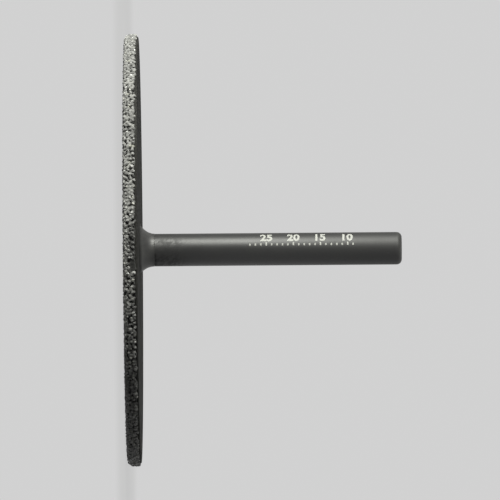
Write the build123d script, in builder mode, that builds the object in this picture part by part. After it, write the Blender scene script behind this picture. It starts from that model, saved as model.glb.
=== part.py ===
# A diamond grinding bit: a flat steel disc on a round shank.
# The disc's rim and front face carry one layer of diamond crystals in a nickel braze.
# The disc lies on its front face, at z = 0, and the shank stands up along +Z.
import os
from math import cos, radians, sin

from build123d import *

# Driving sizes, in millimetres
wheel_diameter = 80.0  # over the diamonds
wheel_thickness = 2.7  # from the diamonds' tips to the bare back face
overall_length = 51.0
shank_diameter = 6.0
crystal_height = 0.2  # how far a crystal stands out of the bond
bond_thickness = 0.3  # the braze between the steel and the crystals

# The bond, and the steel disc under it
bond_radius = wheel_diameter / 2 - crystal_height
bond_corner = 1.15  # the rounding from the front face to the rim
bond_back = 2.4  # where the bond ends on the rim, short of the back face
bond_back_chamfer = 0.15
steel_radius = bond_radius - bond_thickness
steel_front = crystal_height + bond_thickness
steel_front_chamfer = 0.5
steel_back_chamfer = 0.25

# The shank's root is turned down where it is brazed in, through the disc to the bond
shank_radius = shank_diameter / 2
root_radius = shank_radius - 0.2
tip_rounding = 0.95

# The ring of braze round the shank's foot, drawn up into a hollow curve
fillet_foot_radius = 4.5
fillet_waist = (3.42, 3.98)  # radius and height halfway along the curve
fillet_lip = 0.05
fillet_top = 5.4

# The crystals on the rim, spread evenly by the golden angle
crystal_count = 440
crystal_shapes = [(4, 0.36), (3, 0.42)]  # sides, and the foot's radius to its corners
crystal_taper = 24  # degrees
crystal_turn = 77  # degrees from one crystal to the next, so that none line up
golden_angle = 137.507764
corner_reach = 45  # how far round the front corner the crystals go, in degrees
crystal_stop = 1.85  # the height of the last crystals, short of the bond's back edge

with BuildPart() as wheel_disc:
    with BuildSketch(Plane.XZ) as disc_section:
        with Locations((root_radius, steel_front)):
            Rectangle(
                steel_radius - root_radius,
                wheel_thickness - steel_front,
                align=(Align.MIN, Align.MIN),
            )
        rim_corners = disc_section.vertices().group_by(Axis.X)[-1].sort_by(Axis.Y)
        chamfer(rim_corners[0], steel_front_chamfer)
        chamfer(rim_corners[-1], steel_back_chamfer)
    revolve(axis=Axis.Z)

with BuildPart() as shank:
    with BuildSketch(Plane.XY.offset(steel_front)):
        Circle(root_radius)
    extrude(amount=fillet_top - steel_front)
    with BuildSketch(Plane.XY.offset(fillet_top)):
        Circle(shank_radius)
    extrude(amount=overall_length - fillet_top)
    fillet(shank.edges().filter_by(GeomType.CIRCLE).sort_by(Axis.Z)[-1], tip_rounding)

with BuildPart() as braze_fillet:
    with BuildSketch(Plane.XZ):
        with BuildLine():
            hollow = ThreePointArc(
                (fillet_foot_radius, wheel_thickness),
                fillet_waist,
                (shank_radius + fillet_lip, fillet_top),
            )
            Polyline(
                hollow @ 1,
                (root_radius, fillet_top),
                (root_radius, wheel_thickness),
                hollow @ 0,
            )
        make_face()
    revolve(axis=Axis.Z)

with BuildPart() as diamond_bond:
    with BuildSketch(Plane.XZ) as bond_section:
        with BuildLine():
            Polyline(
                (0, 0),
                (bond_radius, 0),
                (bond_radius, bond_back),
                (steel_radius, bond_back),
                (steel_radius, steel_front),
                (0, steel_front),
                close=True,
            )
        make_face()
        outer_corners = bond_section.vertices().group_by(Axis.X)[-1].sort_by(Axis.Y)
        inner_corners = bond_section.vertices().group_by(Axis.X)[-2].sort_by(Axis.Y)
        fillet(outer_corners[0], bond_corner)
        chamfer(outer_corners[-1], bond_back_chamfer)
        chamfer(inner_corners[0], steel_front_chamfer)
    revolve(axis=Axis.Z)


def crystal_seat(number):
    """The plane that a crystal stands on: it touches the bond, and its Z points out."""
    corner_run = bond_corner * radians(corner_reach)
    band_width = corner_run + crystal_stop - bond_corner
    along = (number + 0.5) / crystal_count * band_width - corner_run
    lean = max(0, -along) / bond_corner
    around = radians(number * golden_angle)
    radius = bond_radius - bond_corner * (1 - cos(lean))
    height = bond_corner * (1 - sin(lean)) + max(0, along)
    seat = Plane(
        origin=(radius * cos(around), radius * sin(around), height),
        x_dir=(-sin(around), cos(around), 0),
        z_dir=(cos(lean) * cos(around), cos(lean) * sin(around), -sin(lean)),
    )
    return seat * Rotation(0, 0, number * crystal_turn)


def crystal(sides, foot_radius):
    """A crystal of the given number of sides, narrower at its flat tip."""
    with BuildPart() as frustum:
        with BuildSketch():
            RegularPolygon(foot_radius, sides)
        extrude(amount=crystal_height, taper=crystal_taper)
    return frustum.part


crystals = [crystal(sides, foot_radius) for sides, foot_radius in crystal_shapes]

with BuildPart() as diamond_grit:
    for first, one_crystal in enumerate(crystals):
        numbers = range(first, crystal_count, len(crystals))
        with Locations(*[crystal_seat(number) for number in numbers]):
            add(one_crystal, clean=False)

os.makedirs("parts", exist_ok=True)

wheel_disc.part.label = "wheel_disc"
shank.part.label = "shank"
braze_fillet.part.label = "braze_fillet"
diamond_bond.part.label = "diamond_bond"
diamond_grit.part.label = "diamond_grit"

export_step(wheel_disc.part, "parts/wheel_disc.step")
export_step(shank.part, "parts/shank.step")
export_step(braze_fillet.part, "parts/braze_fillet.step")
export_step(diamond_bond.part, "parts/diamond_bond.step")
export_step(diamond_grit.part, "parts/diamond_grit.step")
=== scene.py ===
import math
import random

import bmesh
import bpy
import numpy as np
from mathutils import Euler, Matrix, Vector, kdtree, noise


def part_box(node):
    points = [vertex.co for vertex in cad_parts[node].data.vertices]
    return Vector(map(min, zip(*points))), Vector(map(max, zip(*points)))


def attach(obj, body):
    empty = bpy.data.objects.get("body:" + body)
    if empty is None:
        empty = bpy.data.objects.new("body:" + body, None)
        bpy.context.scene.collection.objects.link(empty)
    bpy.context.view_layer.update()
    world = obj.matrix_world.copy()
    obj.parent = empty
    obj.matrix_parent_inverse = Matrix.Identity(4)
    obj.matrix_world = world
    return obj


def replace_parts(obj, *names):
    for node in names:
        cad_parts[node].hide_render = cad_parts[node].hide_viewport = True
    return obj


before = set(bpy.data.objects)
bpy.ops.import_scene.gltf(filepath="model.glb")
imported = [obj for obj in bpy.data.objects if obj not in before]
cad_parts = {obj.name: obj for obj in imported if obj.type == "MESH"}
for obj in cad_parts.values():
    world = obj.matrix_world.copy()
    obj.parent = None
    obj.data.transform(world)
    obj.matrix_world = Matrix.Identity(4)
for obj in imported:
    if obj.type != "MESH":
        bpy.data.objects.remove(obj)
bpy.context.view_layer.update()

mm = 0.001  # everything below is measured in millimetres and built in metres
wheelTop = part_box("wheel_disc")[1].z / mm  # the bare back face
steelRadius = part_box("wheel_disc")[1].x / mm
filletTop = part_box("braze_fillet")[1].z / mm
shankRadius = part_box("shank")[1].x / mm
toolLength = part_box("shank")[1].z / mm


# Shader writing: a Signal is one value in a material, and ordinary maths on it adds Math nodes
class Signal:
    def __init__(self, shader, socket):
        self.shader = shader
        self.socket = socket

    def combine(self, operation, first, second, clamp=False):
        settings = {"operation": operation, "use_clamp": clamp}
        return self.shader.node("ShaderNodeMath", settings, {0: first, 1: second})

    def __add__(self, other):
        return self.combine("ADD", self, other)

    def __radd__(self, other):
        return self.combine("ADD", other, self)

    def __sub__(self, other):
        return self.combine("SUBTRACT", self, other)

    def __rsub__(self, other):
        return self.combine("SUBTRACT", other, self)

    def __mul__(self, other):
        return self.combine("MULTIPLY", self, other)

    def __rmul__(self, other):
        return self.combine("MULTIPLY", other, self)

    def __truediv__(self, other):
        return self.combine("DIVIDE", self, other)

    def clamped(self):
        return self.combine("ADD", self, 0.0, clamp=True)

    def rising(self, start, end):  # 0 before start, 1 after end, smooth between
        settings = {"interpolation_type": "SMOOTHSTEP"}
        sockets = {"Value": self, "From Min": start, "From Max": end}
        return self.shader.node("ShaderNodeMapRange", settings, sockets)


class Shader:
    def __init__(self, name, world=None):  # writes a new material, or the world given
        self.owner = world or bpy.data.materials.new(name)
        self.owner.use_nodes = True
        self.tree = self.owner.node_tree
        self.tree.nodes.clear()
        self.place = None if world else self.node("ShaderNodeTexCoord", output="Object")

    def node(self, kind, settings=None, sockets=None, output=0):
        made = self.tree.nodes.new(kind)
        for name, value in (settings or {}).items():
            setattr(made, name, value)
        for name, value in (sockets or {}).items():
            if isinstance(value, Signal):
                self.tree.links.new(value.socket, made.inputs[name])
            else:
                made.inputs[name].default_value = value
        return Signal(self, made.outputs[output]) if len(made.outputs) else None

    def stretched(self, scale, where=None):  # the object's own place, stretched for a pattern
        sockets = {0: where or self.place, 1: scale}
        return self.node("ShaderNodeVectorMath", {"operation": "MULTIPLY"}, sockets)

    def coordinate(self, axis):  # of the object's own place, in mm
        return self.node("ShaderNodeSeparateXYZ", None, {0: self.place}, output=axis) / mm

    def axisDistance(self):  # distance from the tool's axis, in mm
        flat = self.stretched((1.0, 1.0, 0.0))
        return self.node("ShaderNodeVectorMath", {"operation": "LENGTH"}, {0: flat}, "Value") / mm

    def grain(self, size, detail=3.0, rough=0.55, where=None, seed=0.0):
        # noise whose lumps are about this many millimetres across
        settings = {"noise_dimensions": "4D"}
        sockets = {"Vector": where or self.place, "W": seed, "Scale": 1 / (size * mm)}
        sockets |= {"Detail": detail, "Roughness": rough}
        return self.node("ShaderNodeTexNoise", settings, sockets)

    def blend(self, factor, first, second):
        settings = {"data_type": "RGBA"}
        first, second = (c if isinstance(c, Signal) else (*c, 1) for c in (first, second))
        return self.node("ShaderNodeMix", settings, {0: factor, 6: first, 7: second}, output=2)

    def mixed(self, factor, first, second):  # two surfaces
        return self.node("ShaderNodeMixShader", None, {0: factor, 1: first, 2: second})

    def seenRays(self):  # 1 where the camera looks, straight on or by reflection
        names = ("Is Camera Ray", "Is Glossy Ray", "Is Transmission Ray")
        direct, glossy, through = (self.node("ShaderNodeLightPath", output=name) for name in names)
        return (direct + glossy + through).clamped()

    def raised(self, height, depth, under=None):  # a bump this many millimetres deep
        sockets = {"Height": height, "Distance": depth * mm, "Strength": 1.0}
        if under:
            sockets["Normal"] = under
        return self.node("ShaderNodeBump", None, sockets)

    def finish(self, **looks):
        words = {name.replace("_", " "): value for name, value in looks.items()}
        words = {k: (*v, 1) if isinstance(v, tuple) else v for k, v in words.items()}
        skin = self.node("ShaderNodeBsdfPrincipled", None, words)
        self.node("ShaderNodeOutputMaterial", None, {"Surface": skin})
        return self.owner


# Small helpers for meshes
def addPiece(name, points, faces, material, smooth=True, bakeMap=None):
    mesh = bpy.data.meshes.new(name)
    mesh.from_pydata((np.asarray(points) * mm).tolist(), [], faces)
    mesh.polygons.foreach_set("use_smooth", [smooth] * len(mesh.polygons))
    if bakeMap is not None:
        layer = mesh.uv_layers.new(name="OFBake")
        layer.uv.foreach_set("vector", np.asarray(bakeMap, np.float32).ravel())
    mesh.materials.append(material)
    mesh.validate()
    mesh.update()
    piece = bpy.data.objects.new(name, mesh)
    bpy.context.scene.collection.objects.link(piece)
    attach(piece, "root")
    print("made", name, len(mesh.polygons), "faces")
    return piece


def everything(block):
    return block.verts[:] + block.edges[:] + block.faces[:]


def meshLists(block):
    # the corners and faces of a bmesh, which is done with
    block.verts.index_update()
    corners = np.array([vert.co[:] for vert in block.verts])
    faces = [[vert.index for vert in face.verts] for face in block.faces]
    block.free()
    return corners, faces


def ringFaces(rows, columns):
    # quads between rings of points, the last ring joined to the first
    faces = []
    for row in range(rows):
        here, above = row * columns, (row + 1) % rows * columns
        for column in range(columns):
            after = (column + 1) % columns
            faces.append((here + column, here + after, above + after, above + column))
    return faces


def wavy(x, y, z, size, seed=0.0):  # noise from about -1 to 1
    return noise.noise(Vector((x / size, y / size, z / size + seed)))


# Steel darkened in the brazing furnace
shankLooks = {
    "dark": (0.0042, 0.0043, 0.0037),
    "light": (0.0088, 0.0090, 0.0076),
    "worn": (0.055, 0.054, 0.05),
    "stain": (0.0022, 0.0022, 0.0020),
    "roughness": (0.46, 0.59),  # near the foot and at the tip
    "rougherFrom": 17.0,  # height in mm
    "grindLines": 0.0016,  # depth in mm
    "stainedUpTo": 12.5,  # braze vapour mottles the steel up to this height
    "stainedFully": 3.0,  # and most of all up to this far above the braze
    "stainSlant": 0.7,  # radians
    "stainDepth": 0.008,
}


def shankSteel():
    look = shankLooks
    s = Shader("shankSteel")
    side, height = s.coordinate(0), s.coordinate(2)
    lines = s.grain(1.1, 4, 0.6, s.stretched((0.5, 0.5, 14.0)))
    cloud = s.grain(3.2, 4, 0.6, seed=3.0)
    fine = s.grain(0.22, 3, 0.6, seed=14.0)
    # slanting spots near the foot, fainter on the picture's upper side
    turned = {"Vector": s.place, "Angle": look["stainSlant"]}
    slanted = s.node("ShaderNodeVectorRotate", {"rotation_type": "Y_AXIS"}, turned)
    spots = s.grain(0.85, 2.5, 0.5, s.stretched((2.2, 1.0, 1.0), slanted), 8.0).rising(0.4, 0.6)
    nearFoot = 1 - height.rising(filletTop + look["stainedFully"], look["stainedUpTo"])
    mottle = spots * nearFoot * (0.3 + 0.7 * side.rising(-2.6, -0.6))
    # a dull ring where the braze ends, on the lower side
    ring = height.rising(filletTop - 0.05, filletTop + 0.02) * side.rising(-0.8, 1.4)
    ring = ring * (1 - height.rising(filletTop + 0.15, filletTop + 0.5))
    # the rounded tip and the scuffs along the shank are rubbed brighter
    nearTip = height.rising(toolLength - 1.3, toolLength - 0.6)
    scuffs = s.grain(0.35, 3, 0.6, s.stretched((1.0, 1.0, 0.25)), 5.0).rising(0.6, 0.72)
    wear = (nearTip * (0.3 + 0.6 * cloud) * 0.5 + scuffs * 0.15).clamped()
    shade = s.blend(cloud.rising(0.35, 0.7), look["dark"], look["light"])
    shade = s.blend(wear, shade, look["worn"])
    shade = s.blend(mottle * 0.5 + ring * 0.2, shade, look["stain"])
    low, high = look["roughness"]
    rough = low + (high - low) * height.rising(look["rougherFrom"], toolLength)
    rough = rough + 0.09 * (lines - 0.5) + 0.19 * mottle + 0.25 * ring + 0.06 * (cloud - 0.5)
    relief = s.raised(lines, look["grindLines"])
    relief = s.raised(fine, 0.0012, relief)
    relief = s.raised(mottle, look["stainDepth"], relief)
    return s.finish(Base_Color=shade, Roughness=rough, Normal=relief, Specular_IOR_Level=0.76)


discLooks = {
    "dark": (0.018, 0.018, 0.0168),
    "light": (0.067, 0.0665, 0.0635),
    "bare": (0.08, 0.079, 0.074),  # where the back edge is rubbed, and a painted highlight along that edge
    "spatter": (0.06, 0.058, 0.05),  # small drops of braze
    "spatterHeight": 0.02,  # in mm
    "roughness": 0.74,
    "turningPitch": 0.2,  # mm between the lathe's grooves
    "turningDepth": 0.006,
}


def turnedSteel():
    look = discLooks
    s = Shader("turnedSteel")
    radius, height = s.axisDistance(), s.coordinate(2)
    outward = s.node("ShaderNodeCombineXYZ", None, {0: radius * mm})  # its noise makes rings
    grooves = s.grain(look["turningPitch"], 2, 0.5, outward)
    bands = s.grain(2.4, 3, 0.6, outward, 4.0)
    cloud = s.grain(9.0, 5, 0.62, seed=2.0)
    fine = s.grain(0.7, 3, 0.6, seed=6.0)
    spatter = s.grain(1.3, 2, 0.5, seed=11.0).rising(0.66, 0.72)
    corner = steelRadius + wheelTop
    edge = (radius + height).rising(corner - 0.4, corner - 0.15)
    stain = (0.36 * cloud + 0.36 * bands + 0.16 * fine + 0.12 * grooves).rising(0.41, 0.6)
    shade = s.blend(stain, look["dark"], look["light"])
    # the back edge painted lighter: wear and a painted highlight
    shade = s.blend((edge * (0.3 + 0.7 * fine)).clamped(), shade, look["bare"])
    shade = s.blend(spatter * 0.6, shade, look["spatter"])
    rough = look["roughness"] + 0.12 * (grooves - 0.5) + 0.12 * (cloud - 0.5) + 0.1 * spatter
    relief = s.raised(grooves, look["turningDepth"])
    relief = s.raised(spatter, look["spatterHeight"], relief)
    return s.finish(Base_Color=shade, Roughness=rough, Normal=relief, Specular_IOR_Level=0.02)


def dressNode(node, material):
    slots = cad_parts[node].data.materials
    slots.clear()
    slots.append(material)


dressNode("shank", shankSteel())
dressNode("wheel_disc", turnedSteel())
print("steel done")


# A painted scale that shows how deep the shank sits in its collet, in mm from its tip
scaleLooks = {
    "from": 9,
    "to": 28,
    "bearing": 38,  # of the band's middle, from the camera's side towards the picture's top
    "foot": -1.3,  # the ticks' lower ends, along the arc from the band's middle
    "tickHeights": (0.42, 0.62),
    "tickWidth": 0.27,
    "figureFoot": -0.46,
    "figureHeight": 1.78,
    "boldness": 0.036,
    "skin": (0.012, 0.02),  # how far the paint stands out of the steel and reaches into it
    "paint": (0.55, 0.555, 0.52),
    "worn": (0.2, 0.2, 0.18),
    "cuts": (12, 0.13),  # cuts to each side of the band's middle, and the mm between them
    "sameSpot": 0.002,  # in mm; corners nearer than this are one
    "afterCuts": (0.008, 0.004),  # the same once cut across, and the shortest edge kept
}


def scalePaint():
    look = scaleLooks
    s = Shader("scalePaint")
    fine = s.grain(0.3, 3, 0.6, seed=1.0)
    wear = s.grain(0.16, 3, 0.65, seed=2.0).rising(0.66, 0.78)
    shade = s.blend(wear * 0.45 + 0.12 * fine, look["paint"], look["worn"])
    rough = 0.55 + 0.1 * (fine - 0.5)
    return s.finish(Base_Color=shade, Roughness=rough, Normal=s.raised(fine, 0.004))


def addFigure(flat, text, middle):
    # the text as flat faces, its foot and middle in place
    look = scaleLooks
    curve = bpy.data.curves.new("figure", "FONT")
    curve.body = text
    curve.offset = look["boldness"]
    curve.resolution_u = 3
    holder = bpy.data.objects.new("figure", curve)
    mesh = bpy.data.meshes.new_from_object(holder)
    corners = np.array([vert.co[:2] for vert in mesh.vertices])
    low, high = corners.min(0), corners.max(0)
    size = look["figureHeight"] / (high[1] - low[1])
    corners = (corners - ((low[0] + high[0]) / 2, low[1])) * size
    verts = [flat.verts.new((x + middle, y + look["figureFoot"], 0)) for x, y in corners]
    for face in mesh.polygons:
        flat.faces.new([verts[k] for k in face.vertices])
    bpy.data.objects.remove(holder)
    bpy.data.curves.remove(curve)
    bpy.data.meshes.remove(mesh)


def depthScale(material):
    look = scaleLooks
    flat = bmesh.new()
    for depth in range(look["from"], look["to"] + 1):
        middle = toolLength - depth
        numbered = depth % 5 == 0
        high = look["foot"] + look["tickHeights"][numbered]
        half = look["tickWidth"] / 2
        square = [(middle - half, look["foot"]), (middle + half, look["foot"]),
                  (middle + half, high), (middle - half, high)]
        flat.faces.new([flat.verts.new((x, y, 0)) for x, y in square])
        if numbered:
            addFigure(flat, str(depth), middle)
    bmesh.ops.remove_doubles(flat, verts=flat.verts, dist=look["sameSpot"])
    cuts, apart = look["cuts"]
    for step in range(-cuts, cuts + 1):  # cut across so that the faces can follow the round steel
        spot = (0, step * apart, 0)
        bmesh.ops.bisect_plane(flat, geom=everything(flat), plane_co=spot, plane_no=(0, 1, 0))
    sameSpot, shortest = look["afterCuts"]
    bmesh.ops.remove_doubles(flat, verts=flat.verts, dist=sameSpot)
    bmesh.ops.triangulate(flat, faces=flat.faces)
    bmesh.ops.dissolve_degenerate(flat, dist=shortest, edges=flat.edges)
    bmesh.ops.triangulate(flat, faces=flat.faces)
    flat.verts.index_update()
    rims = [(e.link_loops[0].vert.index, e.link_loops[0].link_loop_next.vert.index)
            for e in flat.edges if len(e.link_loops) == 1]
    places, faces = meshLists(flat)
    count = len(places)
    turn = math.radians(look["bearing"]) + places[:, 1] / shankRadius
    out, into = look["skin"]
    points = [np.stack([-np.sin(turn) * radius, -np.cos(turn) * radius, places[:, 0]], -1)
              for radius in (shankRadius + out, shankRadius - into)]
    faces += [[v + count for v in face[::-1]] for face in faces]
    faces += [(b, a, a + count, b + count) for a, b in rims]
    addPiece("depthScale", np.concatenate(points), faces, material, False)


depthScale(scalePaint())
print("scale done")


# The ring of braze at the shank's foot: smooth, with a thin uneven foot and a low lip
filletLooks = {
    "footRadius": 4.5,
    "lip": 0.03,
    "hollow": 2.1,  # power of the curve
    "rows": 44,
    "columns": 288,
    "footWaver": 0.09,  # how unevenly the foot spread, in mm
    "lipWaver": 0.07,  # and how unevenly the top ends
    "lumps": 0.022,
    "fuller": (180, 0.22),  # the side that the braze ran to, and by how much
    "rooted": (0.12, 0.02),  # how far the hidden wall lies inside the shank, and its top below the lip
    "sunk": 0.01,  # how far the foot reaches into the disc
    "dark": (0.006, 0.006, 0.0054),
    "light": (0.019, 0.0192, 0.0165),
    "paintedFootShade": (0.002, 0.002, 0.002),  # painted shade in the crease round the foot
    "flowDepth": 0.05,
    "fineDepth": 0.002,
}


def brazeMetal():
    look = filletLooks
    s = Shader("brazeMetal")
    flow = s.grain(1.6, 4, 0.55, s.stretched((1.0, 1.0, 0.6)), 1.0)
    fine = s.grain(0.25, 3, 0.6, seed=2.0)
    # painted shade: the fillet darkens towards its foot, in the crease against the disc
    foot = 1 - s.coordinate(2).rising(wheelTop + 0.12, wheelTop + 0.5)
    shade = s.blend(flow.rising(0.35, 0.65), look["dark"], look["light"])
    shade = s.blend(foot * 0.9, shade, look["paintedFootShade"])
    rough = 0.48 + 0.12 * (flow - 0.5) + 0.1 * (fine - 0.5) + 0.42 * foot
    relief = s.raised(flow, look["flowDepth"])
    relief = s.raised(fine, look["fineDepth"], relief)
    return s.finish(Base_Color=shade, Roughness=rough, Normal=relief, Specular_IOR_Level=0.8)


def brazeRing(material):
    look = filletLooks
    points = []
    rise = filletTop - wheelTop
    lip = shankRadius + look["lip"]
    bottom = wheelTop - look["sunk"]
    side, extra = math.radians(look["fuller"][0]), look["fuller"][1]
    turns = [2 * math.pi * column / look["columns"] for column in range(look["columns"])]
    for row in range(look["rows"] + 1):
        q = row / look["rows"]
        for turn in turns:
            c, d = math.cos(turn), math.sin(turn)
            fuller = extra * math.cos(turn - side)
            foot = look["footRadius"] + look["footWaver"] * wavy(c, d, 0, 0.5) + fuller
            z = wheelTop + rise * q + look["lipWaver"] * wavy(c, d, 2, 0.45) * q * q
            r = lip + (foot - lip) * (1 - q) ** look["hollow"]
            r += look["lumps"] * wavy(4 * c, 4 * d, z, 0.9, 5) * (1 - (2 * q - 1) ** 4)
            points.append((r * c, r * d, min(z, filletTop) if row else bottom))
    inside, below = look["rooted"]
    inner = shankRadius - inside
    for z in (filletTop - below, bottom):  # back down inside the shank
        points += [(inner * math.cos(turn), inner * math.sin(turn), z) for turn in turns]
    faces = ringFaces(look["rows"] + 3, look["columns"])
    return addPiece("brazeFillet", points, faces, material)


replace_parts(brazeRing(brazeMetal()), "braze_fillet")
print("fillet done")


# The coat. Its section runs from the bond's back edge down the rim, round the front
# corner and in over the front face. A place on it is (along, around), both in mm.
coatLooks = {
    "rimRadius": 39.73,  # of the bond's mean surface, between the crystals
    "faceHeight": 0.27,  # of the same surface on the front face
    "corner": 1.0,
    "backEdge": 2.38,
    "ragged": 0.3,  # how far the back edge wanders
    "scallops": (0.62, 1.7, 0.45),  # their size, that of a slower wander, and its share
    "tips": 0.27,  # no crystal stands further out of the mean surface than this
    "rimInner": 37.4,  # where the rim's mesh hands over to the front face's
    "overlap": 0.3,  # how far the crystals of both reach past that place
    "spacing": 0.47,  # least distance from one crystal's middle to the next
    "edgeGap": 0.2,  # from the back edge to the first crystals
    "throws": (26000, 95000),  # tries at a crystal's place, on the rim and on the front face
    "pitSize": 0.44,
    "pitLevels": (-0.29, -0.08),  # of the pits' noise: bottom and brim
    "pitShare": 0.35,  # no crystal sits deeper in a pit than this share
    # two places on the rim, each as bearing, half width and lowest height
    "calmZone": (-90.5, 4.4, 1.0),  # smoother and darker, with few crystals
    "calmFade": (0.5, 0.8),  # how far past its lowest height it ends, and over what distance
    "calmThinning": 0.8,  # share of the crystals that the calm zone lacks
    "smoothPatch": (-86.2, 1.35, 1.35),  # without crystals
    "patchFade": (0.15, 0.1, 0.4),  # the same: past its sides, past its lowest height, and over
}
rimRun = coatLooks["backEdge"] - coatLooks["faceHeight"] - coatLooks["corner"]
cornerRun = math.pi / 2 * coatLooks["corner"]
cornerRadius = coatLooks["rimRadius"] - coatLooks["corner"]
cornerHeight = coatLooks["faceHeight"] + coatLooks["corner"]
girth = 2 * math.pi * coatLooks["rimRadius"]


def onSection(along, lift):
    # radius, height and outward direction of a point on the coat's section
    along, lift = np.broadcast_arrays(np.asarray(along, float), np.asarray(lift, float))
    lean = np.clip((along - rimRun) / coatLooks["corner"], 0, math.pi / 2)
    past = np.maximum(along - rimRun - cornerRun, 0)
    outward, downward = np.cos(lean), np.sin(lean)
    reach = coatLooks["corner"] + lift
    radius = cornerRadius + reach * outward - past
    height = cornerHeight - reach * downward + np.maximum(rimRun - along, 0)
    return radius, height, outward, downward


def onCoat(along, around, lift=0.0):
    radius, height, outward, downward = onSection(along, lift)
    turn = np.asarray(around) / coatLooks["rimRadius"]
    points = np.stack([radius * np.cos(turn), radius * np.sin(turn), height], -1)
    normals = np.stack([outward * np.cos(turn), outward * np.sin(turn), -downward], -1)
    return points, normals


def zonePlace(zone):
    # how far round the rim its middle lies, its half width, and how far down the rim it ends
    bearing, halfWidth, lowest = coatLooks[zone]
    middle = math.radians(bearing) % (2 * math.pi) * coatLooks["rimRadius"]
    return middle, halfWidth, coatLooks["backEdge"] - lowest


def inSmoothPatch(along, around):
    middle, halfWidth, end = zonePlace("smoothPatch")
    return abs(around - middle) < halfWidth and along < end


def edgeStart(around):
    # where the coat begins at this place round the rim: its back edge is scalloped
    turn = around / coatLooks["rimRadius"]
    x, y = math.cos(turn) * coatLooks["rimRadius"], math.sin(turn) * coatLooks["rimRadius"]
    size, slower, share = coatLooks["scallops"]
    return coatLooks["ragged"] * (wavy(x, y, 0, size, 4) + share * wavy(x, y, 0, slower))


def calmness(along, around):
    # 1 in the middle of the calm zone, 0 away from it
    middle, halfWidth, end = zonePlace("calmZone")
    past, over = coatLooks["calmFade"]
    aside = np.exp(-(((around - middle) / halfWidth) ** 4))
    return aside * np.clip((end + past - along) / over, 0, 1)


def patchSmoothness(along, around):
    # 1 in the patch without crystals, 0 away from it
    middle, halfWidth, end = zonePlace("smoothPatch")
    pastSides, pastEnd, over = coatLooks["patchFade"]
    aside = np.clip((halfWidth + pastSides - np.abs(around - middle)) / over, 0, 1)
    return aside * np.clip((end + pastEnd - along) / over, 0, 1)


def pitted(point):
    # 1 in the pits that the braze left, 0 on the ridges between them
    low, high = coatLooks["pitLevels"]
    share = min(max((high - wavy(*point, coatLooks["pitSize"], 20)) / (high - low), 0), 1)
    return share * share * (3 - 2 * share)


def scatterSites(seed):
    # crystals as they fall: random places, none nearer to another than the spacing
    look = coatLooks
    draw = random.Random(seed)
    spacing = look["spacing"]
    places = []
    cells = {}  # the points so far, by the cube of space that they lie in

    def tryPlace(point, place):
        if pitted(point) > look["pitShare"]:
            return
        cell = tuple(int(math.floor(v / spacing)) for v in point)
        for dx in (-1, 0, 1):
            for dy in (-1, 0, 1):
                for dz in (-1, 0, 1):
                    for other in cells.get((cell[0] + dx, cell[1] + dy, cell[2] + dz), ()):
                        if math.dist(other, point) < spacing:
                            return
        cells.setdefault(cell, []).append(point)
        places.append(place)

    rimThrows, faceThrows = look["throws"]
    length = rimRun + cornerRun + (cornerRadius - look["rimInner"]) + look["overlap"]
    for attempt in range(rimThrows):
        along, around = draw.uniform(0.0, length), draw.uniform(0, girth)
        if inSmoothPatch(along, around) or along < edgeStart(around) + look["edgeGap"]:
            continue
        if draw.random() < look["calmThinning"] * calmness(along, around):
            continue
        point = onCoat(along, around)[0]
        tryPlace(tuple(point), (along, around))
    rimCount = len(places)
    inner = look["rimInner"] - look["overlap"]
    for attempt in range(faceThrows):
        radius = inner * math.sqrt(draw.random())
        turn = draw.uniform(0, 2 * math.pi)
        along = rimRun + cornerRun + cornerRadius - radius
        around = turn * look["rimRadius"]
        point = (radius * math.cos(turn), radius * math.sin(turn), look["faceHeight"])
        tryPlace(point, (along, around))
    return np.array(places[:rimCount]), np.array(places[rimCount:])


rimSites, faceSites = scatterSites(11)
print("sites", len(rimSites), len(faceSites))


# Crystals. A few shapes are cut once, as cubes with their corners cut off to a different
# depth each, and every crystal is one of them, turned, sized and sunk into the bond.
crystalLooks = {
    "shapes": 24,
    "cornerCut": (1.15, 1.75),  # distance of the cut corners, against the cube's half side
    "size": (0.23, 0.35),  # half sides, in mm
    "cutSpread": (0.86, 1.14),  # of that distance from corner to corner of one crystal
    "stretch": 0.2,  # how much longer or shorter than the others a side may be
    "shownShare": (0.3, 1.0),  # how far up to the limit the tips reach
    "bury": 0.12,  # how far the flanks go below the bond's mean surface, in mm
    "scales": ((0.88, 1.12), (0.88, 1.12), (0.8, 1.0)),  # of one crystal's sides and height
    "calmDulling": 0.7,  # share of the tone that crystals of the calm zone lack
    "shortest": (0.02, 0.003),  # edges kept: against the half side, then in mm once cut off below
}


def sliceOff(block, spot, outward):
    # cut off what lies past the spot, and close the cut
    plane = bmesh.ops.bisect_plane(
        block, geom=everything(block), plane_co=spot, plane_no=outward, clear_outer=True
    )
    cutEdges = [e for e in plane["geom_cut"] if isinstance(e, bmesh.types.BMEdge)]
    if cutEdges:
        bmesh.ops.contextual_create(block, geom=cutEdges)


def cutCrystal(draw):
    # corners and flat faces of one crystal, about its own middle, 1 being its half side
    look = crystalLooks
    block = bmesh.new()
    bmesh.ops.create_cube(block, size=2.0)
    cut = draw.uniform(*look["cornerCut"])
    for signs in range(8):
        corner = Vector([1 if signs >> k & 1 else -1 for k in range(3)])
        depth = cut * draw.uniform(*look["cutSpread"]) / math.sqrt(3)
        sliceOff(block, corner.normalized() * depth, corner)
    stretch = look["stretch"]
    sides = [draw.uniform(1 - stretch, 1 + stretch) for _ in range(3)]
    turn = Euler([draw.uniform(0, 2 * math.pi) for _ in range(3)]).to_matrix()
    for vert in block.verts:
        vert.co = turn @ Vector([v * side for v, side in zip(vert.co, sides)])
    bmesh.ops.dissolve_degenerate(block, dist=look["shortest"][0], edges=block.edges)
    bmesh.ops.recalc_face_normals(block, faces=block.faces)
    return meshLists(block)


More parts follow.
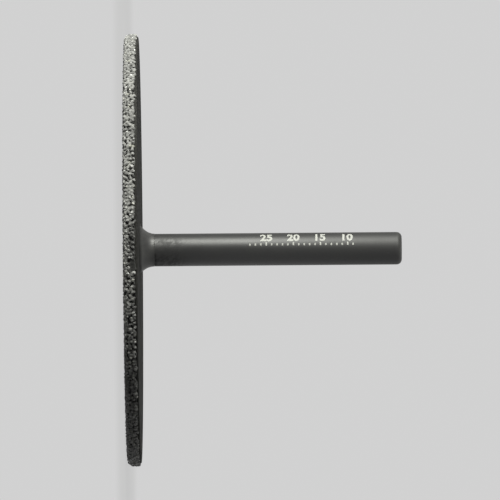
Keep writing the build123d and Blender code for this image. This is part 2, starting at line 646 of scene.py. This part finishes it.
def shortened(corners, faces, floor):
    # the crystal with what lies below the floor cut off, and closed again
    block = bmesh.new()
    for corner in corners:
        block.verts.new(corner)
    block.verts.ensure_lookup_table()
    for face in faces:
        block.faces.new([block.verts[k] for k in face])
    sliceOff(block, (0, 0, floor), (0, 0, -1))
    bmesh.ops.remove_doubles(block, verts=block.verts, dist=crystalLooks["shortest"][1])
    bmesh.ops.recalc_face_normals(block, faces=block.faces)
    return meshLists(block)


def crystalShapes(draw):
    look = crystalLooks
    shapes = []
    for _ in range(look["shapes"]):
        corners, faces = cutCrystal(draw)
        corners = corners * draw.uniform(*look["size"])
        # sunk so that the tip stands out by a share of the limit, then cut off below
        reach = coatLooks["tips"] * draw.uniform(*look["shownShare"])
        corners = corners + (0, 0, reach - corners[:, 2].max())
        shapes.append(shortened(corners, faces, -look["bury"]))
    return shapes


def placeCrystals(name, sites, seed, material):
    draw = random.Random(seed)
    shapes = crystalShapes(draw)
    points, faces, shades = [], [], []
    count = 0
    base, normals = onCoat(sites[:, 0], sites[:, 1])
    for k in range(len(sites)):
        corners, shapeFaces = shapes[draw.randrange(len(shapes))]
        up = Vector(normals[k])
        side = up.orthogonal().normalized()
        spin = draw.uniform(0, 2 * math.pi)
        first = Matrix.Rotation(spin, 3, up) @ side
        turn = np.array([first, up.cross(first), up])
        scale = np.array([draw.uniform(*span) for span in crystalLooks["scales"]])
        points.append((corners * scale) @ turn + base[k])
        faces.extend([[v + count for v in face] for face in shapeFaces])
        tone = draw.random() * (1 - crystalLooks["calmDulling"] * float(calmness(*sites[k])))
        shades.extend([tone] * len(shapeFaces))
        count += len(corners)
    points = np.concatenate(points)
    piece = addPiece(name, points, faces, material, False, faceCells(faces))
    tones = piece.data.attributes.new("crystalTone", "FLOAT", "FACE")
    tones.data.foreach_set("value", shades)
    return piece


def faceCells(faces):
    # a bake map that gives each flat face a cell of its own, in a square grid
    side = math.ceil(math.sqrt(len(faces)))
    reach = 0.36 / side  # from a cell's middle to the face's corners, which leaves a gap round it
    places = []
    for k, face in enumerate(faces):
        middle = ((k % side + 0.5) / side, (k // side + 0.5) / side)
        for j in range(len(face)):
            turn = 2 * math.pi * (j + 0.5) / len(face)
            places.append((middle[0] + reach * math.cos(turn), middle[1] + reach * math.sin(turn)))
    return places


def cornerWear(s):
    # 1 round the front corner, where the coat is painted brighter: partly wear from work, partly a
    # painted highlight for light from that side
    outer = s.axisDistance().rising(steelRadius - 0.9, steelRadius - 0.1)
    return outer * (1 - s.coordinate(2).rising(0.45, 1.1))


crystalSkin = {
    "dull": (0.125, 0.125, 0.122),  # filmed over by the braze
    "clear": (0.48, 0.48, 0.466),
    "straw": (0.48, 0.48, 0.385),
    # painted highlight and wear: the crystals' colour at the front corner
    "rubbedAndLit": (0.66, 0.66, 0.64),
    "roughness": 0.2,
    "depth": 0.006,  # of the facets' own texture, in mm
}


def diamondCrystal():
    look = crystalSkin
    s = Shader("diamondCrystal")
    tone = s.node("ShaderNodeAttribute", {"attribute_name": "crystalTone"}, output="Fac")
    film = s.grain(0.42, 3, 0.6, seed=1.0)
    fine = s.grain(0.12, 3, 0.6, seed=4.0)
    bare = (tone * 0.75 + film * 0.9 + fine * 0.25).rising(0.6, 1.15)
    shade = s.blend(bare, look["dull"], look["clear"])
    shade = s.blend(tone.rising(0.8, 1.0) * 0.5, shade, look["straw"])
    # the front corner painted brighter: wear and a painted highlight
    shade = s.blend(cornerWear(s) * 0.4, shade, look["rubbedAndLit"])
    rough = look["roughness"] + 0.3 * (1 - bare) + 0.16 * (fine - 0.5)
    relief = s.raised(fine, look["depth"])
    return s.finish(Base_Color=shade, Roughness=rough, Normal=relief, Specular_IOR_Level=0.45)


bondSkin = {
    # painted shade: the bond's colour at the bottom of its pits
    "pit": (0.012, 0.012, 0.0117),
    "ridge": (0.19, 0.19, 0.185),
    "crest": (0.41, 0.41, 0.398),
    # painted highlight and wear: the bond's colour at the front corner
    "rubbedAndLit": (0.46, 0.46, 0.446),
    "roughness": 0.42,
    "lumpDepth": 0.11,
    "fineDepth": 0.02,
}


def bondMetal():
    look = bondSkin
    s = Shader("bondMetal")
    rise = s.node("ShaderNodeAttribute", {"attribute_name": "bondRise"}, output="Fac")
    lumps = s.grain(0.5, 3, 0.55, seed=1.0)
    fine = s.grain(0.13, 3, 0.62, seed=2.0)
    level = rise + 0.3 * (lumps - 0.5) + 0.2 * (fine - 0.5)
    # darker the lower the bond lies: painted shade in the pits, lighter on the high braze round the
    # crystals
    shade = s.blend(level.rising(0.15, 0.6), look["pit"], look["ridge"])
    shade = s.blend(level.rising(0.7, 1.05), shade, look["crest"])
    # the front corner's ridges painted brighter: wear and a painted highlight
    shade = s.blend(cornerWear(s) * level.rising(0.25, 0.7) * 0.55, shade, look["rubbedAndLit"])
    rough = look["roughness"] + 0.2 * (fine - 0.5)
    relief = s.raised(lumps, look["lumpDepth"])
    relief = s.raised(fine, look["fineDepth"], relief)
    return s.finish(Base_Color=shade, Roughness=rough, Normal=relief, Specular_IOR_Level=0.1)


crystalMaterial = diamondCrystal()
bondMaterial = bondMetal()
rimCrystals = placeCrystals("rimCrystals", rimSites, 5, crystalMaterial)
# the front face's crystals are two pieces, which keeps each light enough
halfway = len(faceSites) // 2
order = np.argsort(np.hypot(*onCoat(faceSites[:, 0], faceSites[:, 1])[0][:, :2].T))
placeCrystals("innerCrystals", faceSites[order[:halfway]], 6, crystalMaterial)
placeCrystals("outerCrystals", faceSites[order[halfway:]], 7, crystalMaterial)
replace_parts(rimCrystals, "diamond_grit")
print("crystals done")


# The bond itself: braze drawn up round each crystal, with pits between them
bondLooks = {
    "rimColumns": 1900,
    "rimRows": 32,
    "faceStep": 0.25,  # between the front face's rings of points
    "facePast": 0.05,  # how far that mesh reaches past the start of the rim's
    "pit": -0.20,  # lowest and highest places against the bond's mean surface, in mm
    "shoulder": 0.08,
    "flank": (0.20, 0.42),  # the braze falls from crystal to ridge over these distances
    "flankWaver": (0.05, 0.25),  # how unevenly, and the size of the waves
    "ridge": 0.6,  # how high the ridges stand between crystals
    "backLip": 0.22,  # over this run the bond thins out to nothing at its back edge
    "sunk": 0.03,  # there it ends this far inside the steel
    "edgeTone": 0.35,  # the rise that colours the thin back edge
    "patchRise": 0.42,  # of the patch without crystals
    "calmRise": (0.6, 0.09),  # the calm zone loses this share of its rise, and has this instead
    "calmRows": 16,  # the rows from the back edge down that reach those two places
    "lid": 0.52,  # height of the hidden faces that close both meshes inside the steel
    "wall": ((0.6, 0.52), (0.04, 1.1), (0.04, 2.08)),  # the way up from there: inset and height
}
siteTree = kdtree.KDTree(len(rimSites) + len(faceSites))
for number, place in enumerate(onCoat(*np.vstack([rimSites, faceSites]).T)[0]):
    siteTree.insert(place, number)
siteTree.balance()


def bondRise(point):
    # 0 in a pit, 1 against a crystal
    near, far = bondLooks["flank"]
    waver, size = bondLooks["flankWaver"]
    away = siteTree.find(point)[2] + waver * wavy(*point, size, 7)
    share = min(max((far - away) / (far - near), 0), 1)
    return (bondLooks["ridge"] + (1 - bondLooks["ridge"]) * share) * (1 - pitted(point))


def bondLift(rise):
    return bondLooks["pit"] + (bondLooks["shoulder"] - bondLooks["pit"]) * rise


def edgeCurve(share):
    # a quarter circle, from 0 and flat at 0 to 1 and steep at 1
    return 1 - np.sqrt(1 - share ** 2)


def rimBond():
    look = bondLooks
    columns, rows = look["rimColumns"], look["rimRows"]
    length = rimRun + cornerRun + cornerRadius - coatLooks["rimInner"]
    points, rises = [], []
    around = np.arange(columns) / columns * girth
    start = np.array([edgeStart(place) for place in around])
    for row in range(rows):
        share = row / (rows - 1)
        along = start * (1 - share) ** 2 + length * share
        base, normals = onCoat(along, around)
        thin = np.clip((along - start) / look["backLip"], 0, 1)
        sink = (coatLooks["rimRadius"] - steelRadius + look["sunk"]) * edgeCurve(1 - thin)
        rise = np.array([bondRise(point) for point in base])
        if row < look["calmRows"]:
            smooth, calm = patchSmoothness(along, around), calmness(along, around)
            rise = rise * (1 - smooth) + look["patchRise"] * smooth
            lost, instead = look["calmRise"]
            rise = rise * (1 - lost * calm) + instead * calm
        points.append(base + normals * (bondLift(rise) * thin - sink)[:, None])
        rises.append(rise * thin + look["edgeTone"] * (1 - thin))
    wall = [(coatLooks["rimInner"], look["lid"])]
    wall += [(steelRadius - inset, height) for inset, height in look["wall"]]
    across, aside = np.cos(around / coatLooks["rimRadius"]), np.sin(around / coatLooks["rimRadius"])
    for radius, height in wall:  # hidden inside the steel, back up to the first row
        points.append(np.stack([radius * across, radius * aside, np.full(columns, height)], -1))
        rises.append(np.zeros(columns))
    allRows = rows + len(wall)
    # turned over, so that they face out
    faces = [face[::-1] for face in ringFaces(allRows, columns)]
    bakeMap = [corner for face in stripMap(allRows, columns) for corner in face[::-1]]
    points = np.concatenate(points)
    skin = addPiece("rimBond", points, faces, bondMaterial, bakeMap=bakeMap)
    keepRise(skin, np.concatenate(rises))
    return skin


def keepRise(skin, rises):
    kept = skin.data.attributes.new("bondRise", "FLOAT", "POINT")
    kept.data.foreach_set("value", np.asarray(rises, np.float32))


def stripMap(rows, columns):
    # a long ring of quads cut into lanes, stacked to fill the square
    lanes, gap, margin = 8, 0.004, 0.002
    perLane = math.ceil(columns / lanes)
    places = []
    for row in range(rows):
        for column in range(columns):
            lane, step = divmod(column, perLane)
            low, high = ((lane + gap + (1 - 2 * gap) * edge / rows) / lanes for edge in (row, row + 1))
            left, right = (margin + (1 - 2 * margin) * edge / perLane for edge in (step, step + 1))
            places.append([(left, low), (right, low), (right, high), (left, high)])
    return places


def faceBond():
    # rings of 6, 12, 18 ... points round the middle, joined by triangles
    inner = coatLooks["rimInner"]
    rings = round(inner / bondLooks["faceStep"])
    step = (inner + bondLooks["facePast"]) / rings
    flat = [(0.0, 0.0)]
    for ring in range(1, rings + 1):
        for k in range(6 * ring):
            turn = 2 * math.pi * k / (6 * ring)
            flat.append((ring * step * math.cos(turn), ring * step * math.sin(turn)))
    faces = []
    for ring in range(rings):
        here = 1 + 3 * ring * (ring - 1) if ring else 0
        after = 1 + 3 * ring * (ring + 1)
        for sector in range(6):
            for k in range(ring + 1):
                a = here + (sector * ring + k) % max(6 * ring, 1)
                b = after + (sector * (ring + 1) + k) % (6 * ring + 6)
                c = after + (sector * (ring + 1) + k + 1) % (6 * ring + 6)
                faces.append((a, c, b))
                if k < ring:
                    d = here + (sector * ring + k + 1) % (6 * ring)
                    faces.append((a, d, c))
    height = coatLooks["faceHeight"]
    rises = [bondRise(Vector((x, y, height))) for x, y in flat]
    points = [(x, y, height - bondLift(rise)) for (x, y), rise in zip(flat, rises)]
    # closed above by a plain lid inside the steel
    front = len(faces)
    rim = [len(flat) - 6 * rings + k for k in range(6 * rings)]
    lid, middle = len(points), len(points) + len(rim)
    height = bondLooks["lid"]
    points += [(points[k][0], points[k][1], height) for k in rim] + [(0, 0, height)]
    for k in range(len(rim)):
        after = (k + 1) % len(rim)
        faces.append((rim[k], rim[after], lid + after))
        faces.append((rim[k], lid + after, lid + k))
        faces.append((lid + k, lid + after, middle))
    points = np.array(points)
    # the front fills the map; wall and lid lie round each other in its corner
    scale = 0.49 / inner
    bakeMap = [(0.5 + points[v][0] * scale, 0.5 + points[v][1] * scale)
               for face in faces[:front] for v in face]
    corner, wallReach, lidReach = 0.08, 0.074, 0.055
    for v in [v for face in faces[front:] for v in face]:
        reach = wallReach if v < lid else lidReach if v < middle else 0
        turn = math.atan2(points[v][1], points[v][0])
        bakeMap.append((corner + reach * math.cos(turn), corner + reach * math.sin(turn)))
    skin = addPiece("faceBond", points, faces, bondMaterial, bakeMap=bakeMap)
    keepRise(skin, rises + [0] * (len(points) - len(rises)))


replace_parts(rimBond(), "diamond_bond")
faceBond()
print("bond done")


# Stage, lamps and camera
stageLooks = {
    "pale": 0.64,  # the background, as the camera and reflections see it
    "worldOnObject": 0.012,  # what lights the tool from there
    "matte": 0.24,  # what the floor sends back of the lamps' light
    "shadowShare": 0.45,  # of what is seen near the tool; the rest is even glow
    "paleNear": 0.98,
    "shadowReach": (62, 150),  # past this distance, in mm, the floor is plain
    "floorSize": 6000,
}


def paleStage():
    look = stageLooks
    s = Shader("paleFloor")
    white = (1, 1, 1, 1)
    nearGlow = s.node("ShaderNodeEmission", None, {"Color": white, "Strength": look["paleNear"]})
    farGlow = s.node("ShaderNodeEmission", None, {"Color": white, "Strength": look["pale"]})
    matte = s.node("ShaderNodeBsdfDiffuse", None, {"Color": (look["matte"],) * 3 + (1,)})
    near = s.mixed(look["shadowShare"], nearGlow, matte)
    shown = s.mixed(s.axisDistance().rising(*look["shadowReach"]), near, farGlow)
    s.node("ShaderNodeOutputMaterial", None, {"Surface": s.mixed(s.seenRays(), matte, shown)})
    size = look["floorSize"] / 2
    mesh = bpy.data.meshes.new("floor")
    corners = [(-size, -size, 0), (size, -size, 0), (size, size, 0), (-size, size, 0)]
    mesh.from_pydata([Vector(corner) * mm for corner in corners], [], [(0, 1, 2, 3)])
    mesh.materials.append(s.owner)
    floor = bpy.data.objects.new("floor", mesh)
    bpy.context.scene.collection.objects.link(floor)


def paleWorld():
    look = stageLooks
    world = bpy.data.worlds.new("paleWorld")
    bpy.context.scene.world = world
    s = Shader("paleWorld", world)
    white = (1, 1, 1, 1)
    dim = s.node("ShaderNodeBackground", None, {"Color": white, "Strength": look["worldOnObject"]})
    pale = s.node("ShaderNodeBackground", None, {"Color": white, "Strength": look["pale"]})
    s.node("ShaderNodeOutputWorld", None, {"Surface": s.mixed(s.seenRays(), dim, pale)})


lampLooks = {
    "keyBearing": 62.5,  # degrees from the camera's direction towards the picture's top
    "keyDistance": 420,
    "keyHeight": 72,
    "keyAim": (0, 0, 20),
    "keySize": (240, 144),
    "keyPower": 2.55,
    "topPlace": (60, 120, 600),
    "topAim": (0, 0, 0),
    "topSize": (400, 400),
    "topPower": 0.6,
    "tint": (0.99, 1.0, 0.935),
}


def addLamp(name, place, aim, size, power):
    lamp = bpy.data.lights.new(name, "AREA")
    lamp.shape = "RECTANGLE"
    lamp.size, lamp.size_y = (side * mm for side in size)
    lamp.energy = power
    lamp.color = lampLooks["tint"]
    body = bpy.data.objects.new(name, lamp)
    bpy.context.scene.collection.objects.link(body)
    body.location = Vector(place) * mm
    body.rotation_mode = "QUATERNION"
    body.rotation_quaternion = (Vector(aim) - Vector(place)).to_track_quat("-Z", "Y")
    body.visible_camera = False


def addLamps():
    look = lampLooks
    bearing = math.radians(look["keyBearing"])
    away = look["keyDistance"]
    keyPlace = (-math.sin(bearing) * away, -math.cos(bearing) * away, look["keyHeight"])
    addLamp("keyLamp", keyPlace, look["keyAim"], look["keySize"], look["keyPower"])
    addLamp("topLamp", look["topPlace"], look["topAim"], look["topSize"], look["topPower"])


paleStage()
paleWorld()
addLamps()

cameraLooks = {
    "distance": 1485,
    "height": 23.0,  # the picture's middle lies this far up the shank
    "aside": 0.123,
    "frame": 92.3,  # mm across the picture at the tool
    "sensor": 36,
    "tilt": -0.45,  # degrees; the shank's free end stands a little high
    "seenFrom": 50,  # mm in front of the camera
    "seenTo": 20000,
}


def addCamera():
    # level with the disc's edge, and rolled so that the shank points to the picture's right
    look = cameraLooks
    lens = bpy.data.cameras.new("camera")
    lens.sensor_width = look["sensor"]
    lens.lens = look["sensor"] * look["distance"] / look["frame"]
    lens.clip_start = look["seenFrom"] * mm
    lens.clip_end = look["seenTo"] * mm
    camera = bpy.data.objects.new("camera", lens)
    bpy.context.scene.collection.objects.link(camera)
    right, up, back = Vector((0, 0, 1)), Vector((-1, 0, 0)), Vector((0, -1, 0))
    facing = Matrix((right, up, back)).transposed().to_4x4()
    facing = facing @ Matrix.Rotation(math.radians(look["tilt"]), 4, "Z")
    stand = Vector((look["aside"], -look["distance"], look["height"])) * mm
    camera.matrix_world = Matrix.Translation(stand) @ facing
    bpy.context.scene.camera = camera


addCamera()
bpy.context.scene.view_settings.view_transform = "Standard"
print("stage done")
